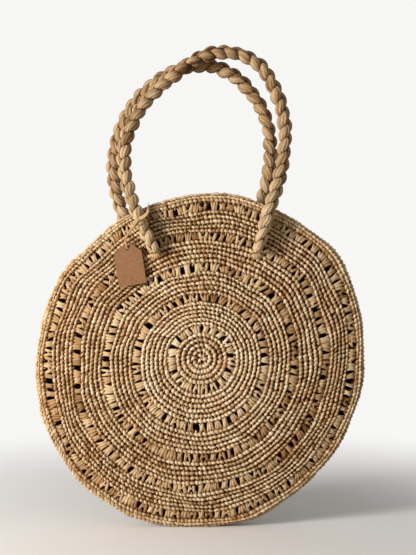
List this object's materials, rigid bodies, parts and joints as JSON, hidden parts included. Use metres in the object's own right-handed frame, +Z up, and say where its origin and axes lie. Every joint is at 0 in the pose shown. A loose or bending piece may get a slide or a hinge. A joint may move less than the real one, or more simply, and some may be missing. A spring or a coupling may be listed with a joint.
{
  "type": "circle bag",
  "caption": "Round handbag of crocheted raffia: domed discs joined at the rim, open mouth at the top, plaited rope handles that swing down, small card tag on a strand.",
  "frame": {"origin": "middle of the flat on which the bag stands, below the middle of the discs", "axes": "+Z up, from the standing flat to the mouth; front disc towards -Y; +X to the right as seen from the front"},
  "size_m": [0.38, 0.0842, 0.5485],
  "materials": {
    "raffia_crochet": "matte",
    "raffia_plait": "satin",
    "raffia_strand": "satin",
    "tag_card": "matte"
  },
  "bodies": {
    "bag": {"front_panel": "raffia_crochet", "back_panel": "raffia_crochet", "rim_seam": "raffia_crochet", "front_mouth_edge": "raffia_crochet", "back_mouth_edge": "raffia_crochet", "front_left_lashing": "raffia_strand", "front_right_lashing": "raffia_strand", "back_left_lashing": "raffia_strand", "back_right_lashing": "raffia_strand"},
    "front_handle": {"front_handle": "raffia_plait", "tag_tie": "raffia_strand"},
    "back_handle": {"back_handle": "raffia_plait"},
    "tag_strand": {"tag_strand": "raffia_strand"},
    "hang_tag": {"hang_tag": "tag_card"}
  },
  "joints": [
    {"name": "front_handle_swing", "type": "hinge", "parent": "bag", "child": "front_handle", "pos_m": [0, -0.0332, 0.31262], "axis": [1, 0, 0], "range_deg": [0, 135]},
    {"name": "back_handle_swing", "type": "hinge", "parent": "bag", "child": "back_handle", "pos_m": [0, 0.03341, 0.30962], "axis": [-1, 0, 0], "range_deg": [0, 155]},
    {"name": "tag_hang", "type": "hinge", "parent": "front_handle", "child": "tag_strand", "pos_m": [-0.06807, -0.04192, 0.34805], "axis": [1, 0, 0], "range_deg": [-135, 0]},
    {"name": "tag_swing", "type": "hinge", "parent": "tag_strand", "child": "hang_tag", "pos_m": [-0.08257, -0.02452, 0.31605], "axis": [0, 0.9895, -0.1448], "range_deg": [-6, 60]}
  ],
  "couplings": [
    {"joint": "tag_hang", "follows": "front_handle_swing", "ratio": -1}
  ]
}
